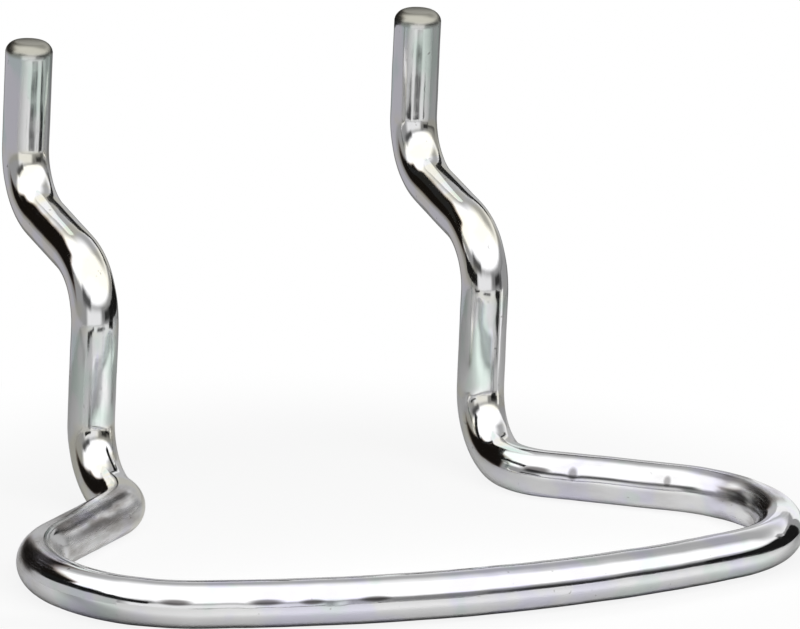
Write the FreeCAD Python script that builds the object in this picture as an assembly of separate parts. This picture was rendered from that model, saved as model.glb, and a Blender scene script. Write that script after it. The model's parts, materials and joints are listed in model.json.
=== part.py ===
import FreeCAD, Part
import math
import os

# Driving dimensions, in millimetres and degrees. Bend radii are measured to the middle of the wire.
wire_diameter = 2.8
hole_spacing = 25.4         # between the two board holes that carry the hook
board_gap = 7.8             # clear space between a leg and its prong, where the board goes
crank_slope = 11.0          # climb of the wire on its way through the board
bend_radius = 3.8           # every tight bend is formed on the same pin
leg_length = 5.6            # straight stretch of a leg down the face of the board
prong_length = 6.3          # straight stretch of a prong up the back of the board
prong_chamfer = 0.6         # bevel round the cropped wire end
loop_width = 49.0           # over the outsides of the loop's two front corners
arm_flare = 51.5            # swing of each arm away from straight ahead
corner_radius = 7.8
bar_bow_radius = 62.5

wire_radius = wire_diameter / 2
right_angle = 90
same_point = 0.001          # two points closer than this are one
slope = math.radians(crank_slope)
flare = math.radians(arm_flare)

# The crank's straight stretch is what the two bends leave of the step from leg to prong.
leg_to_prong = board_gap + wire_diameter
crank_length = (leg_to_prong - 2 * bend_radius * (1 - math.sin(slope))) / math.cos(slope)

# Each arm runs from its neck bend to the corner that reaches the loop's full width.
half_loop = loop_width / 2 - wire_radius
bend_widening = (bend_radius + corner_radius) * (1 - math.cos(flare))
arm_length = (half_loop - hole_spacing / 2 - bend_widening) / math.sin(flare)

# The bowed bar is tangent to both corners, so half its sweep follows from their centres.
half_bow = math.degrees(math.asin((half_loop - corner_radius) / (bar_bow_radius - corner_radius)))

left_right = FreeCAD.Vector(1, 0, 0)
forward = FreeCAD.Vector(0, -1, 0)
upward = FreeCAD.Vector(0, 0, 1)


# Wire fed and bent in turn. Each stretch begins on the section where the last one ended.
class BentWire:
    def __init__(self, start, heading):
        self.point = start
        self.heading = heading
        self.stretches = []

    def section(self):
        rim = Part.Circle(self.point, self.heading, wire_radius).toShape()
        return Part.Face(Part.Wire(rim))

    def feed(self, length):
        travel = self.heading * length
        self.stretches.append(self.section().extrude(travel))
        self.point = self.point + travel

    def bend(self, radius, angle, toward):
        centre = self.point + toward * radius
        axis = self.heading.cross(toward)
        self.stretches.append(self.section().revolve(centre, axis, angle))
        turn = FreeCAD.Rotation(axis, angle)
        self.point = centre + turn.multVec(self.point - centre)
        self.heading = turn.multVec(self.heading)

    def bend_inward(self, radius, angle):
        self.bend(radius, angle, self.heading.cross(upward))


# From the middle of the crank, up the back of the board to the cropped end.
def prong_run(crank_middle, crank_heading):
    run = BentWire(crank_middle, crank_heading)
    run.feed(crank_length / 2)
    run.bend(bend_radius, right_angle - crank_slope, left_right.cross(crank_heading))
    run.feed(prong_length)
    prong = run.stretches.pop()
    end_edges = [edge for edge in prong.Edges if edge.CenterOfMass.isEqual(run.point, same_point)]
    run.stretches.append(prong.makeChamfer(prong_chamfer, end_edges))
    return run


# From the middle of the crank, down the face of the board, out along the arm and round the loop's corner.
# The last stretch is the bar, which goes on to the far corner.
def loop_run(crank_middle, crank_heading):
    run = BentWire(crank_middle, -crank_heading)
    run.feed(crank_length / 2)
    run.bend(bend_radius, right_angle - crank_slope, crank_heading.cross(left_right))
    run.feed(leg_length)
    run.bend(bend_radius, right_angle, forward)
    run.bend(bend_radius, arm_flare, left_right)
    run.feed(arm_length)
    run.bend_inward(corner_radius, right_angle + arm_flare - half_bow)
    run.bend_inward(bar_bow_radius, 2 * half_bow)
    return run


# The origin is on the face of the board, level with the cranks and midway between the two holes.
origin = FreeCAD.Vector(0, 0, 0)
crank_middle = FreeCAD.Vector(hole_spacing / 2, board_gap / 2, 0)
crank_heading = FreeCAD.Vector(0, math.cos(slope), math.sin(slope))

prong_stretches = prong_run(crank_middle, crank_heading).stretches
*side_stretches, bar = loop_run(crank_middle, crank_heading).stretches
right_side = prong_stretches[0].multiFuse(prong_stretches[1:] + side_stretches)
left_side = right_side.mirror(origin, left_right)
wire_hook = bar.multiFuse([right_side, left_side]).removeSplitter()

os.makedirs("parts", exist_ok=True)
wire_hook.exportStep("parts/wire_hook.step")
print("solids", len(wire_hook.Solids), "valid", wire_hook.isValid(), "volume", round(wire_hook.Volume, 2))
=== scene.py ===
import json
import math
from collections import namedtuple
import bpy
from mathutils import Matrix, Vector, kdtree


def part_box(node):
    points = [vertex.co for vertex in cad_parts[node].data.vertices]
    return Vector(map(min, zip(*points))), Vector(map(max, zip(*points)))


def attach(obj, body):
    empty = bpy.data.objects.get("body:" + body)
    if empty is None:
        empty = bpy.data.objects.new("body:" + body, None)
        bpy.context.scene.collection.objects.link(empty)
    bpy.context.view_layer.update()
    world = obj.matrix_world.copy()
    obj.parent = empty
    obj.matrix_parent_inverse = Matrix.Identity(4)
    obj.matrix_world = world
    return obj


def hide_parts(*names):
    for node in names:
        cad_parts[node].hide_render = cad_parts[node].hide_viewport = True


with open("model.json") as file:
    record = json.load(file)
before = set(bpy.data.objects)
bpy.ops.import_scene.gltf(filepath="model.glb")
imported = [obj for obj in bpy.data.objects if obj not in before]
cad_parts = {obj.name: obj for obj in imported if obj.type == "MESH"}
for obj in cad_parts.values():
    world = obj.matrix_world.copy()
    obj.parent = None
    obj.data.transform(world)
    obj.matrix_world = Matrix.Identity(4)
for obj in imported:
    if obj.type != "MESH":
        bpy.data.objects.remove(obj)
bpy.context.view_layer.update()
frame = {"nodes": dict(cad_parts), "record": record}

scene = bpy.context.scene
scene.view_settings.view_transform = "Standard"
print("frame loaded:", sorted(frame["nodes"]))


# shader sums on sockets, so that finishes read as plain expressions
class Flow:
    def __init__(self, tree, socket=None):
        self.tree = tree
        self.socket = socket

    def node(self, kind, settings=None, inputs=None, output=0):
        made = self.tree.nodes.new("ShaderNode" + kind)
        for name, value in (settings or {}).items():
            setattr(made, name, value)
        for name, value in (inputs or {}).items():
            if isinstance(value, Flow):
                self.tree.links.new(value.socket, made.inputs[name])
            else:
                made.inputs[name].default_value = value
        return Flow(self.tree, made.outputs[output] if made.outputs else None)

    def math(self, operation, first, second=0.0):
        return self.node("Math", {"operation": operation}, {0: first, 1: second})

    def __add__(self, other):
        return self.math("ADD", self, other)

    def __radd__(self, other):
        return self.math("ADD", other, self)

    def __sub__(self, other):
        return self.math("SUBTRACT", self, other)

    def __rsub__(self, other):
        return self.math("SUBTRACT", other, self)

    def __mul__(self, other):
        return self.math("MULTIPLY", self, other)

    def __rmul__(self, other):
        return self.math("MULTIPLY", other, self)

    def between(self, low, high):                   # 0 at low, 1 at high, eased at both ends
        ease = {"interpolation_type": "SMOOTHSTEP"}
        return self.node("MapRange", ease, {"Value": self, "From Min": low, "From Max": high})

    def blend(self, first, second):                 # first where this is 0, second where it is 1
        return self.node("Mix", {"data_type": "RGBA"}, {0: self, 6: first, 7: second}, 2)


white = (1, 1, 1, 1)


def newMaterial(name):
    material = bpy.data.materials.new(name)
    material.use_nodes = True
    material.node_tree.nodes.clear()
    return material, Flow(material.node_tree)


def deselectAll():
    if bpy.context.object and bpy.context.object.mode != "OBJECT":
        bpy.ops.object.mode_set(mode="OBJECT")
    bpy.ops.object.select_all(action="DESELECT")


# the bent wire, one length from the left prong's end to the right one's
wire = {
    "sides": 64,                            # points round the section
    "ringGap": 0.00025,                     # between rings
    "bendRadius": 0.0038,                   # to the middle of the wire, as every radius here
    "cornerRadius": 0.0078,
    "bowRadius": 0.0625,
    "crankSlope": math.radians(11),
    "armFlare": math.radians(51.5),
    "endBevel": 0.0006,                     # round the cropped ends
    "bevelFlat": 0.2,                       # share of the bevel that is still flat, the rest worn round
    "bevelRings": 6,
    "capInset": 0.00028,                    # the cropped ends are a little domed
    "capRise": 0.00002,
    "capSteps": 2,
    "nearEnd": 6e-6,                        # a point this near the plane of an end is on it
    "weldGap": 1e-7,
}

mounts = {mount["name"]: mount for mount in frame["record"]["mounts"]}
prongMount = mounts["right_prong"]
wireRadius = prongMount["dims"]["r_mm"] / 1000
holeX = prongMount["pos_m"][0]
prongY = prongMount["pos_m"][1]
legY = -wireRadius                          # the legs' backs lie on the board's face
boxLow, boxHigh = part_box("wire_hook")

up = Vector((0, 0, 1))
across = Vector((1, 0, 0))
ahead = Vector((0, -1, 0))

Ring = namedtuple("Ring", "centre heading side along")


class WireRun:                              # feeds and bends the selected ring, and keeps each ring's place
    def __init__(self, point, heading, side):
        self.point = point
        self.heading = heading
        self.side = side
        self.along = 0.0
        self.rings = []
        self.starts = {}                    # how far along each named stretch begins
        self.keep()

    def keep(self):
        self.rings.append(Ring(self.point.copy(), self.heading.copy(), self.side.copy(), self.along))

    def push(self, length, scale=1.0):
        move = self.heading * length
        bpy.ops.mesh.extrude_region_move(TRANSFORM_OT_translate={"value": move})
        self.point = self.point + move
        self.along += length
        if scale != 1.0:
            bpy.ops.transform.resize(value=(scale, scale, scale), center_override=self.point)
        self.keep()

    def feed(self, name, length):
        self.starts[name] = self.along
        count = max(1, round(length / wire["ringGap"]))
        for index in range(count):
            self.push(length / count)

    def bend(self, name, radius, angle, toward):
        self.starts[name] = self.along
        count = max(1, round(angle * radius / wire["ringGap"]))
        centre = self.point + toward * radius
        axis = self.heading.cross(toward)
        bpy.ops.mesh.spin(steps=count, angle=-angle, center=centre, axis=axis)
        turn = Matrix.Rotation(angle / count, 3, axis)
        for index in range(count):
            self.point = centre + turn @ (self.point - centre)
            self.heading = turn @ self.heading
            self.side = turn @ self.side
            self.along += angle * radius / count
            self.keep()

    def ringAt(self, name, after):          # the ring nearest a place on a named stretch
        goal = self.starts[name] + after
        return min(self.rings, key=lambda ring: abs(ring.along - goal))


def bevelSteps():                           # (depth, radius) pairs from the end face down to the full wire
    flat = wire["bevelFlat"]
    steps = []
    for index in range(wire["bevelRings"] + 1):
        share = index / wire["bevelRings"]
        swing = share * math.pi / 2
        depth = flat * share + (1 - flat) * (1 - math.cos(swing))
        width = flat * share + (1 - flat) * math.sin(swing)
        steps.append((depth * wire["endBevel"], wireRadius - wire["endBevel"] * (1 - width)))
    return steps


def bevelEnd(run, opening):
    steps = bevelSteps() if opening else bevelSteps()[::-1]
    for (depth, radius), (nextDepth, nextRadius) in zip(steps, steps[1:]):
        run.push(abs(nextDepth - depth), nextRadius / radius)


def makeWire():
    bend, corner, bow = wire["bendRadius"], wire["cornerRadius"], wire["bowRadius"]
    slope, flare = wire["crankSlope"], wire["armFlare"]
    quarter = math.pi / 2
    crankLength = (prongY - legY - 2 * bend * (1 - math.sin(slope))) / math.cos(slope)
    crankRise = 2 * bend * math.cos(slope) + crankLength * math.sin(slope)
    prongLength = boxHigh.z - crankRise / 2
    legLength = -crankRise / 2 - bend - (boxLow.z + wireRadius)
    halfLoop = boxHigh.x - wireRadius
    armLength = (halfLoop - holeX - (bend + corner) * (1 - math.cos(flare))) / math.sin(flare)
    halfBow = math.asin((halfLoop - corner) / (bow - corner))
    cornerTurn = quarter + flare - halfBow

    deselectAll()
    bpy.ops.mesh.primitive_circle_add(
        vertices=wire["sides"], radius=wireRadius - wire["endBevel"], fill_type="NOTHING",
        location=(-holeX, prongY, boxHigh.z))
    piece = bpy.context.object
    bpy.ops.object.transform_apply(location=True, rotation=True, scale=True)
    bpy.ops.object.mode_set(mode="EDIT")
    bpy.ops.mesh.select_all(action="SELECT")
    run = WireRun(Vector((-holeX, prongY, boxHigh.z)), -up, across.copy())

    bevelEnd(run, True)
    run.feed("leftProng", prongLength - wire["endBevel"])                # down the back of the board
    run.bend("leftTopBend", bend, quarter - slope, ahead)
    run.feed("leftCrank", crankLength)
    run.bend("leftFaceBend", bend, quarter - slope, across.cross(run.heading))
    run.feed("leftLeg", legLength)
    run.bend("leftNeck", bend, quarter, ahead)
    run.bend("leftSwing", bend, flare, -across)
    run.feed("leftArm", armLength)
    run.bend("leftCorner", corner, cornerTurn, up.cross(run.heading))
    run.bend("bar", bow, 2 * halfBow, up.cross(run.heading))
    run.bend("rightCorner", corner, cornerTurn, up.cross(run.heading))
    run.feed("rightArm", armLength)
    run.bend("rightSwing", bend, flare, run.heading.cross(up))
    run.bend("rightNeck", bend, quarter, up)
    run.feed("rightLeg", legLength)
    run.bend("rightFaceBend", bend, quarter - slope, -ahead)
    run.feed("rightCrank", crankLength)
    run.bend("rightTopBend", bend, quarter - slope, across.cross(run.heading))
    run.feed("rightProng", prongLength - wire["endBevel"])               # up the back of the board
    bevelEnd(run, False)
    bpy.ops.mesh.select_all(action="SELECT")
    bpy.ops.mesh.remove_doubles(threshold=wire["weldGap"])
    bpy.ops.object.mode_set(mode="OBJECT")
    return piece, run


def pickPoints(piece, chosen):              # leaves edit mode on, with only these points selected
    bpy.ops.object.mode_set(mode="EDIT")
    bpy.ops.mesh.select_mode(type="VERT")
    bpy.ops.mesh.select_all(action="DESELECT")
    bpy.ops.object.mode_set(mode="OBJECT")
    for vertex in piece.data.vertices:
        vertex.select = chosen(vertex.co)
    bpy.ops.object.mode_set(mode="EDIT")


def onEndRing(ring):
    def chosen(point):
        offset = point - ring.centre
        return offset.length < wireRadius and abs(offset.dot(ring.heading)) < wire["nearEnd"]

    return chosen


def capEnds(piece, run):
    ends = [run.rings[0], run.rings[-1]]
    for ring in ends:
        pickPoints(piece, onEndRing(ring))
        bpy.ops.mesh.edge_face_add()
    bpy.ops.mesh.select_all(action="SELECT")
    bpy.ops.mesh.normals_make_consistent(inside=False)
    bpy.ops.mesh.faces_shade_smooth()
    for ring in ends:
        pickPoints(piece, onEndRing(ring))
        for step in range(wire["capSteps"]):
            bpy.ops.mesh.inset(thickness=wire["capInset"], depth=wire["capRise"])
    bpy.ops.object.mode_set(mode="OBJECT")


wirePiece, wireRun = makeWire()
capEnds(wirePiece, wireRun)
wirePiece.name = "bent_wire"
print("wire:", len(wirePiece.data.vertices), "points,", round(wireRun.along * 1000, 1), "mm long")


# drawn wire is never quite round, and the bending pins leave shallow dents
waves = {"size": 0.0028, "height": 45e-6, "fineSize": 0.0011, "fineHeight": 7e-6}
dents = [
    {"on": "leftProng", "after": 0.0046, "facing": (-0.1, -1, 0), "reach": 0.0013, "depth": 20e-6},
    {"on": "leftTopBend", "after": 0.0016, "facing": (-0.1, -0.6, 0.8), "reach": 0.0008, "depth": 25e-6},
    {"on": "leftFaceBend", "after": 0.0020, "facing": (-0.1, -0.6, 0.8), "reach": 0.0007, "depth": 30e-6},
    {"on": "leftLeg", "after": 0.0006, "facing": (0.1, -1, 0), "reach": 0.0015, "depth": 20e-6},
    {"on": "leftNeck", "after": 0.0032, "facing": (0.6, -0.5, 0.6), "reach": 0.0008, "depth": 30e-6},
    {"on": "leftNeck", "after": 0.0052, "facing": (0.2, -0.2, 1), "reach": 0.0006, "depth": 25e-6},
    {"on": "leftArm", "after": 0.0012, "facing": (0.5, -0.7, 0.5), "reach": 0.0010, "depth": 25e-6},
    {"on": "leftArm", "after": 0.0030, "facing": (0.2, -0.3, 0.9), "reach": 0.0012, "depth": 25e-6},
    {"on": "leftCorner", "after": 0.0132, "facing": (-0.4, -0.5, 0.8), "reach": 0.0006, "depth": 25e-6},
    {"on": "bar", "after": 0.0030, "facing": (-0.2, -0.9, 0.4), "reach": 0.0007, "depth": 30e-6},
    {"on": "bar", "after": 0.0080, "facing": (-0.1, -0.9, 0.4), "reach": 0.0008, "depth": 30e-6},
    {"on": "rightCorner", "after": 0.0024, "facing": (0.4, -0.6, 0.6), "reach": 0.0007, "depth": 30e-6},
    {"on": "rightArm", "after": 0.0059, "facing": (-0.5, -0.7, 0.5), "reach": 0.0006, "depth": 25e-6},
    {"on": "rightNeck", "after": 0.0025, "facing": (0.3, -0.6, 0.8), "reach": 0.0008, "depth": 30e-6},
    {"on": "rightLeg", "after": 0.0049, "facing": (-0.1, -1, 0), "reach": 0.0015, "depth": 20e-6},
    {"on": "rightFaceBend", "after": 0.0035, "facing": (-0.2, -0.6, 0.8), "reach": 0.0008, "depth": 25e-6},
    {"on": "rightTopBend", "after": 0.0014, "facing": (-0.2, -0.5, 0.8), "reach": 0.0007, "depth": 25e-6},
    {"on": "rightTopBend", "after": 0.0045, "facing": (0.4, -0.9, 0.2), "reach": 0.0007, "depth": 30e-6},
]


def waveSurface(piece, name, size, height):
    texture = bpy.data.textures.new(name, "CLOUDS")
    texture.noise_scale = size
    texture.noise_depth = 1
    deselectAll()
    piece.select_set(True)
    bpy.context.view_layer.objects.active = piece
    bpy.ops.object.modifier_add(type="DISPLACE")
    modifier = piece.modifiers[-1]
    modifier.texture = texture
    modifier.texture_coords = "LOCAL"
    modifier.strength = height
    bpy.ops.object.modifier_apply(modifier=modifier.name)


def pressDent(piece, run, dent):
    ring = run.ringAt(dent["on"], dent["after"])
    facing = Vector(dent["facing"])
    out = (facing - ring.heading * facing.dot(ring.heading)).normalized()
    spot = ring.centre + out * wireRadius
    nearest = min(piece.data.vertices, key=lambda vertex: (vertex.co - spot).length).co.copy()
    pickPoints(piece, lambda point: point == nearest)
    bpy.ops.transform.translate(
        value=-out * dent["depth"], use_proportional_edit=True,
        proportional_edit_falloff="SMOOTH", proportional_size=dent["reach"])
    bpy.ops.object.mode_set(mode="OBJECT")


waveSurface(wirePiece, "wire_waves", waves["size"], waves["height"])
waveSurface(wirePiece, "wire_ripples", waves["fineSize"], waves["fineHeight"])
for dent in dents:
    pressDent(wirePiece, wireRun, dent)
print("dents pressed:", len(dents))


# where each point lay before the wire was bent, so that drawn lines follow the wire
def markStraightPlaces(piece, run):
    tree = kdtree.KDTree(len(run.rings))
    for index, ring in enumerate(run.rings):
        tree.insert(ring.centre, index)
    tree.balance()
    layer = piece.data.attributes.new("straightWire", "FLOAT_VECTOR", "POINT")
    for vertex in piece.data.vertices:
        ring = run.rings[tree.find(vertex.co)[1]]
        out = vertex.co - ring.centre
        outerSide = ring.heading.cross(ring.side)
        layer.data[vertex.index].vector = (out.dot(ring.side), out.dot(outerSide), ring.along)


markStraightPlaces(wirePiece, wireRun)


# bright zinc over drawn steel
zinc = {
    "plain": (0.83, 0.83, 0.84, 1),
    "lavender": (0.77, 0.76, 0.87, 1),
    "green": (0.71, 0.80, 0.76, 1),
    "olive": (0.84, 0.82, 0.73, 1),
    "stain": (0.31, 0.285, 0.27, 1),        # where the plating is thin
    "speck": (0.30, 0.29, 0.28, 1),
    # short dark marks: painted reflection dashes on the bar and left corner, rub marks on the right arm and
    # swing
    "darkMark": (0.07, 0.06, 0.06, 1),
    "cut": (0.46, 0.45, 0.39, 1),           # bare cropped ends
    "roughness": 0.08,
    "uprightRoughness": 0.03,
    "drawnRoughness": 0.10,
    "speckRoughness": 0.12,
    "cutRoughness": 0.34,
    "stainScale": 900,
    "stainClouds": (0.34, 0.70),            # noise below the first is clear, above the second is full
    "speckScale": 2600,
    "speckClouds": (0.70, 0.76),
    "speckShare": 0.6,
    "speckDepth": 0.8,                      # in the bump, where drawn lines count 1
    "grainScale": 5200,
    "grainHeight": 0.35,
    "drawnScale": 9000,
    "drawnClouds": (0.48, 0.78),
    "drawnSqueeze": 0.02,                   # along the wire, so that marks are drawn out
    "smearSqueeze": 0.30,
    "darkMarkFade": (0.1, 1.4),
    "bumpStrength": 0.10,
    "bumpHeight": 0.00002,
    "stretchEdge": 0.0006,                  # half the fade from one stretch to the next
    "loopEdge": 0.0015,
    "stainEdge": 0.0008,
}

# faint tints in the plating, in clouds that may be drawn out along the wire
tints = [
    {"on": "loop", "tint": "lavender", "scale": 330, "clouds": (0.46, 0.62), "share": 1.0, "long": False},
    {"on": "loop", "tint": "green", "scale": 410, "clouds": (0.56, 0.68), "share": 0.6, "long": False},
    {"on": "upright", "tint": "green", "scale": 700, "clouds": (0.44, 0.60), "share": 1.0, "long": True},
    {"on": "bends", "tint": "olive", "scale": 500, "clouds": (0.42, 0.60), "share": 1.0, "long": False},
]
stains = [
    {"on": "leftArm", "from": -0.001, "to": 0.0090, "tone": 0.95, "roughness": 0.16},
    {"on": "leftCorner", "from": 0.0035, "to": 0.0078, "tone": 0.75, "roughness": 0.14},
    {"on": "rightCorner", "from": 0.0072, "to": 0.0136, "tone": 0.92, "roughness": 0.14},
    {"on": "rightArm", "from": -0.0034, "to": 0.0074, "tone": 0.25, "roughness": 0.03},
]

# short dark marks, where an angle turns round the wire from its inner side: on the left corner and the bar
# they are a painted reflection, dashes that break up the dark line the bar mirrors at mid-height, and on
# the right arm and swing they are rub marks
rubsAndPaintedReflections = [
    {"on": "leftCorner", "after": 0.0159, "angle": 160, "half": (0.0009, 8), "tone": 0.85},
    {"on": "bar", "after": 0.0039, "angle": 161, "half": (0.0011, 8), "tone": 0.85},
    {"on": "bar", "after": 0.0066, "angle": 163, "half": (0.0008, 7), "tone": 0.85},
    {"on": "bar", "after": 0.0103, "angle": 162, "half": (0.0010, 7), "tone": 0.85},
    {"on": "rightArm", "after": 0.0003, "angle": 29, "half": (0.00024, 15), "tone": 0.6},
    {"on": "rightArm", "after": 0.0060, "angle": 23, "half": (0.00030, 18), "tone": 0.65},
    {"on": "rightSwing", "after": 0.0004, "angle": 24, "half": (0.0008, 8), "tone": 0.85},
]


def zincFinish(run):
    material, flow = newMaterial("bright_zinc")
    place = flow.node("Attribute", {"attribute_name": "straightWire"}, output="Vector")
    inner, outer, along = [flow.node("SeparateXYZ", {}, {"Vector": place}, axis) for axis in "XYZ"]
    turned = flow.math("ARCTAN2", outer, inner) * math.degrees(1)
    drawn = flow.node("Mapping", {}, {"Vector": place, "Scale": (1, 1, zinc["drawnSqueeze"])})
    smeared = flow.node("Mapping", {}, {"Vector": place, "Scale": (1, 1, zinc["smearSqueeze"])})

    def cloud(vector, scale, detail, low, high):
        noise = flow.node("TexNoise", {}, {"Vector": vector, "Scale": scale, "Detail": detail})
        return noise.between(low, high)

    def within(begin, end, soft):
        return along.between(begin - soft, begin + soft) * (1 - along.between(end - soft, end + soft))

    starts = run.starts
    straights = [
        (0.0, starts["leftTopBend"]),
        (starts["leftLeg"], starts["leftNeck"]),
        (starts["rightLeg"], starts["rightFaceBend"]),
        (starts["rightProng"], run.along),
    ]
    upright = 0.0
    for begin, end in straights:
        upright = upright + within(begin, end, zinc["stretchEdge"])
    loop = within(starts["leftArm"], starts["rightNeck"], zinc["loopEdge"])
    bends = 1 - flow.math("MINIMUM", upright + loop, 1.0)
    zones = {"upright": upright, "loop": loop, "bends": bends}

    tint = zinc["plain"]
    for cast in tints:
        clouds = cloud(smeared if cast["long"] else place, cast["scale"], 2, *cast["clouds"])
        tint = (zones[cast["on"]] * clouds * cast["share"]).blend(tint, zinc[cast["tint"]])
    patchy = cloud(smeared, zinc["stainScale"], 4, *zinc["stainClouds"])
    stained = 0.0
    dulled = 0.0
    for stain in stains:
        start = starts[stain["on"]]
        spread = within(start + stain["from"], start + stain["to"], zinc["stainEdge"])
        stained = stained + spread * stain["tone"]
        dulled = dulled + spread * stain["roughness"]
    tint = (stained * patchy).blend(tint, zinc["stain"])
    specks = cloud(place, zinc["speckScale"], 3, *zinc["speckClouds"])
    tint = (specks * zinc["speckShare"]).blend(tint, zinc["speck"])
    # short dark marks in the colour: painted reflection dashes on the left corner and the bar, rub marks on
    # the right arm and swing
    darkMarked = 0.0
    for darkMark in rubsAndPaintedReflections:
        middle = starts[darkMark["on"]] + darkMark["after"]
        length = (along - middle) * (1 / darkMark["half"][0])
        width = (turned - darkMark["angle"]) * (1 / darkMark["half"][1])
        mark = 1 - (length * length + width * width).between(*zinc["darkMarkFade"])
        darkMarked = darkMarked + mark * darkMark["tone"]
    tint = darkMarked.blend(tint, zinc["darkMark"])
    bevel = wire["endBevel"]
    cut = 1 - within(bevel, run.along - bevel, bevel / 2)
    tint = cut.blend(tint, zinc["cut"])

    lines = flow.node("TexNoise", {}, {"Vector": drawn, "Scale": zinc["drawnScale"], "Detail": 3})
    grain = flow.node("TexNoise", {}, {"Vector": place, "Scale": zinc["grainScale"], "Detail": 2})
    rough = zinc["roughness"] + zinc["drawnRoughness"] * lines.between(*zinc["drawnClouds"])
    rough = rough + zinc["uprightRoughness"] * upright + dulled + zinc["speckRoughness"] * specks
    rough = rough * (1 - cut) + cut * zinc["cutRoughness"]
    height = lines + grain * zinc["grainHeight"] - specks * zinc["speckDepth"]
    bump = flow.node("Bump", {}, {
        "Strength": zinc["bumpStrength"], "Distance": zinc["bumpHeight"], "Height": height})
    shader = flow.node("BsdfPrincipled", {}, {
        "Base Color": tint, "Metallic": 1.0, "Roughness": rough, "Normal": bump})
    flow.node("OutputMaterial", {}, {"Surface": shader})
    return material


wirePiece.data.materials.append(zincFinish(wireRun))
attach(wirePiece, "root")
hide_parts("wire_hook")
print("zinc finish on", wirePiece.name)


# pale table under the loop, with a soft dark patch in front that shows only in the metal, and a painted
# contact shadow: the table is painted darker on each side of the bar's line
table = {
    "radius": 0.090,
    "sides": 96,
    "middle": (0.0, -0.060),
    "colour": (0.80, 0.80, 0.79, 1),
    "shadowShare": 0.12,                    # how much of the shadow shows on the white
    "shadowReach": (0.022, 0.040),          # from the middle of the loop, where the shadow fades out
    "below": 0.00006,                       # clear of the wire's waves
    # painted contact shadow: how far it reaches on each side of the bar's line, and how dark it is painted
    "paintedContactShade": (0.0002, 0.0032),            # on each side of the bar's line
    "paintedContactShadeShare": 0.45,
}
patch = {
    "middle": (-0.004, -0.068),
    "half": (0.021, 0.012),
    "edge": 0.005,
    "colour": (0.03, 0.03, 0.03, 1),
}

# cards that stand beside the hook and show only in the metal, with height and length as their size
cards = {
    "dark_card": {"middle": (0.034, -0.0315, -0.0113), "size": (0.0072, 0.027), "turn": 0, "tone": 0.01},
    "right_pale": {"middle": (0.0335, -0.010, -0.0105), "size": (0.0075, 0.013), "turn": 90, "tone": 1.0},
    "grey_card": {"middle": (0.056, 0.000, -0.0055), "size": (0.019, 0.044), "turn": 0, "tone": 0.33},
    "left_card": {"middle": (-0.0300, -0.025, -0.0098), "size": (0.0026, 0.024), "turn": 0, "tone": 0.01},
    "left_pale": {"middle": (-0.0302, -0.019, -0.0131), "size": (0.0036, 0.020), "turn": 0, "tone": 0.55},
    "middle_card": {"middle": (-0.003, -0.0025, -0.0023), "size": (0.0038, 0.015), "turn": 0, "tone": 0.01},
    "back_card": {"middle": (0.014, 0.018, 0.0101), "size": (0.0058, 0.052), "turn": 90, "tone": 0.02},
}


def makeTable():
    deselectAll()
    height = boxLow.z - table["below"]
    bpy.ops.mesh.primitive_circle_add(
        vertices=table["sides"], radius=table["radius"], fill_type="NGON",
        location=(*table["middle"], height))
    floor = bpy.context.object
    bpy.ops.object.transform_apply(location=True, rotation=True, scale=True)
    floor.name = "pale_table_painted_shade"
    floor.data.materials.append(tablePaint(height))


def tablePaint(height):
    material, flow = newMaterial("pale_table_painted_shade")
    place = flow.node("TexCoord", output="Object")
    loopMiddle = (0.0, (boxLow.y + legY) / 2, boxLow.z)
    away = flow.node("VectorMath", {"operation": "DISTANCE"}, {0: place, 1: loopMiddle}, "Value")
    shadow = table["shadowShare"] * (1 - away.between(*table["shadowReach"]))
    x, y = [flow.node("SeparateXYZ", {}, {"Vector": place}, axis) for axis in "XY"]
    dark = 1.0
    for offset, half in zip((x - patch["middle"][0], y - patch["middle"][1]), patch["half"]):
        beyond = flow.math("ABSOLUTE", offset).between(half - patch["edge"], half + patch["edge"])
        dark = dark * (1 - beyond)
    # painted contact shadow: the table is painted darker near the bar's line, which the metal mirrors and
    # the camera sees faintly
    bowMiddle = (0.0, boxLow.y + wireRadius + wire["bowRadius"], height)
    fromBow = flow.node("VectorMath", {"operation": "DISTANCE"}, {0: place, 1: bowMiddle}, "Value")
    aside = flow.math("ABSOLUTE", fromBow - wire["bowRadius"])
    dark = flow.math("MAXIMUM", dark, table["paintedContactShadeShare"] * (1 - aside.between(*table["paintedContactShade"])))
    seen = flow.node("LightPath", output="Is Camera Ray")
    pale = flow.node("BsdfDiffuse", {}, {"Color": table["colour"]})
    # dark paint for the patch and for the painted contact shadow
    dull = flow.node("BsdfDiffuse", {}, {"Color": patch["colour"]})
    paint = flow.node("MixShader", {}, {0: dark, 1: pale, 2: dull})
    glow = flow.node("Emission", {}, {"Color": white, "Strength": 1.0})
    both = flow.node("MixShader", {}, {0: seen * (1 - shadow), 1: paint, 2: glow})
    flow.node("OutputMaterial", {}, {"Surface": both})
    return material


def standCard(name, card):
    deselectAll()
    stance = (0, math.pi / 2, math.radians(card["turn"]))
    bpy.ops.mesh.primitive_plane_add(size=1, location=card["middle"], rotation=stance)
    sheet = bpy.context.object
    sheet.scale = (*card["size"], 1)
    bpy.ops.object.transform_apply(location=True, rotation=True, scale=True)
    sheet.name = name
    sheet.visible_camera = False
    sheet.visible_diffuse = False
    sheet.visible_shadow = False
    material, flow = newMaterial(name)
    paper = flow.node("Emission", {}, {"Color": white, "Strength": card["tone"]})
    flow.node("OutputMaterial", {}, {"Surface": paper})
    sheet.data.materials.append(material)


makeTable()
for name, card in cards.items():
    standCard(name, card)
print("table placed, with", len(cards), "cards beside it")


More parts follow.
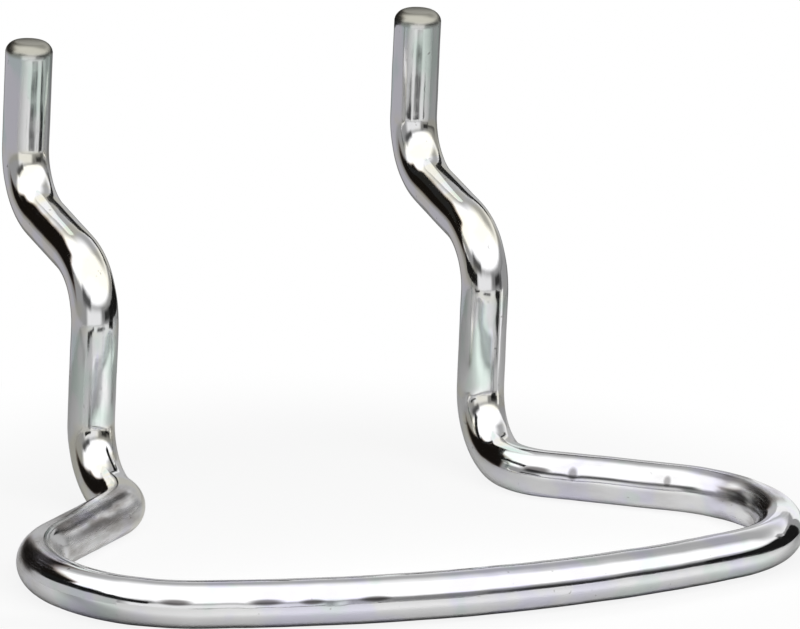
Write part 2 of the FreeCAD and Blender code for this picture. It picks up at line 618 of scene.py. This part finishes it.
# soft white studio, with the grey walls and the dark curtain that bright metal shows
studio = {
    "sky": 1.3,
    "skyFrom": (16, 25),                    # degrees above level where the white dome begins
    "walls": 0.33,
    "below": 0.48,
    "belowFrom": (-7, -12),
    "belowTint": (0.94, 0.92, 1.0, 1),
    "evenLight": 0.16,                      # what dull surfaces get from all round
}

# azimuth runs from the back (0) to the right (90), and both half sizes are in degrees
panels = {
    "farSky": {"azimuth": 38, "elevation": 46, "across": 56, "high": 18, "edge": 14, "level": 0.45},
    "curtain": {"azimuth": -26, "elevation": 19, "across": 40, "high": 21, "edge": 4, "level": 0.008,
                "tint": (1.0, 0.80, 0.66, 1)},
    "paleWall": {"azimuth": 38, "elevation": 8, "across": 24, "high": 14, "edge": 4, "level": 0.50},
    "rightDusk": {"azimuth": 108, "elevation": 0, "across": 22, "high": 9, "edge": 6, "level": 0.10},
    "rightGap": {"azimuth": 141, "elevation": 5, "across": 15, "high": 7, "edge": 4, "level": 0.035},
    "shade": {"azimuth": 168, "elevation": 8, "across": 12, "high": 8, "edge": 6, "level": 0.22},
    "frontScreen": {"azimuth": -154, "elevation": 1, "across": 34, "high": 14, "edge": 7, "level": 0.92},
    "farFloor": {"azimuth": 38, "elevation": -17, "across": 42, "high": 12, "edge": 6, "level": 0.20},
    "leftWall": {"azimuth": -120, "elevation": 19, "across": 20, "high": 7, "edge": 5, "level": 0.09},
}

# soft boxes over the front of the table and over the inside of the loop, which fall off behind the hook
lamps = {
    "front_lamp": {"place": (-0.008, -0.072, 0.068), "aim": (-0.008, -0.066, -0.015), "size": (0.14, 0.03),
                   "power": 0.098},
    "loop_lamp": {"place": (0.002, -0.024, -0.006), "aim": (0.002, -0.024, -0.015), "size": (0.042, 0.004),
                  "power": 0.0018},
}


def panelMask(flow, azimuth, elevation, panel):
    turned = flow.node("Math", {"operation": "WRAP"}, {0: azimuth - panel["azimuth"], 1: 180.0, 2: -180.0})
    side = flow.math("ABSOLUTE", turned)
    rise = flow.math("ABSOLUTE", elevation - panel["elevation"])
    edge = panel["edge"]
    beside = side.between(panel["across"] - edge, panel["across"] + edge)
    beyond = rise.between(panel["high"] - edge, panel["high"] + edge)
    return (1 - beside) * (1 - beyond)


def makeStudio():
    world = bpy.data.worlds.new("studio")
    scene.world = world
    world.use_nodes = True
    world.node_tree.nodes.clear()
    flow = Flow(world.node_tree)
    direction = flow.node("TexCoord", output="Generated")
    x, y, z = [flow.node("SeparateXYZ", {}, {"Vector": direction}, axis) for axis in "XYZ"]
    azimuth = flow.math("ARCTAN2", x, y) * math.degrees(1)
    elevation = flow.math("ARCSINE", z) * math.degrees(1)
    overhead = elevation.between(*studio["skyFrom"])
    underfoot = 1 - elevation.between(*studio["belowFrom"][::-1])
    mirrored = studio["walls"] + overhead * (studio["sky"] - studio["walls"])
    mirrored = mirrored + underfoot * (studio["below"] - studio["walls"])
    tint = underfoot.blend(white, studio["belowTint"])
    for panel in panels.values():
        mask = panelMask(flow, azimuth, elevation, panel)
        mirrored = mirrored * (1 - mask) + mask * panel["level"]
        tint = mask.blend(tint, panel.get("tint", white))
    seen = flow.node("LightPath", output="Is Camera Ray")
    glossy = flow.node("LightPath", output="Is Glossy Ray")
    dull = glossy * mirrored + (1 - glossy) * studio["evenLight"]
    strength = seen + (1 - seen) * dull
    colour = glossy.blend(white, tint)
    shade = flow.node("Background", {}, {"Color": colour, "Strength": strength})
    flow.node("OutputWorld", {}, {"Surface": shade})


def hangLamp(name, lamp):
    data = bpy.data.lights.new(name, "AREA")
    data.shape = "RECTANGLE"
    data.size, data.size_y = lamp["size"]
    data.energy = lamp["power"]
    softBox = bpy.data.objects.new(name, data)
    scene.collection.objects.link(softBox)
    softBox.location = lamp["place"]
    beam = Vector(lamp["aim"]) - Vector(lamp["place"])
    softBox.rotation_euler = beam.to_track_quat("-Z", "Y").to_euler()
    softBox.visible_camera = False
    softBox.visible_glossy = False


makeStudio()
for name, lamp in lamps.items():
    hangLamp(name, lamp)
print("studio lit:", len(panels), "panels,", len(lamps), "lamps")


# long lens from the front left, a little above
view = {
    "azimuth": math.radians(-26.08),
    "elevation": math.radians(15.62),
    "roll": math.radians(2.51),
    "distance": 1.2,
    "lens": 917.8,
    "sensor": 36,
    "reach": 10,
    "aim": (0.004612, -0.006672, -0.003385),
}


def makeCamera():
    azimuth, elevation, roll = view["azimuth"], view["elevation"], view["roll"]
    level = Vector((math.sin(azimuth), -math.cos(azimuth), 0))
    back = level * math.cos(elevation) + up * math.sin(elevation)
    right = Vector((math.cos(azimuth), math.sin(azimuth), 0))
    above = back.cross(right)
    turnedRight = right * math.cos(roll) + above * math.sin(roll)
    turnedUp = above * math.cos(roll) - right * math.sin(roll)
    data = bpy.data.cameras.new("photo_view")
    data.lens = view["lens"]
    data.sensor_width = view["sensor"]
    data.clip_end = view["reach"]
    camera = bpy.data.objects.new("photo_view", data)
    scene.collection.objects.link(camera)
    facing = Matrix((turnedRight, turnedUp, back)).transposed().to_4x4()
    camera.matrix_world = Matrix.Translation(Vector(view["aim"]) + back * view["distance"]) @ facing
    scene.camera = camera


makeCamera()
print("camera set")
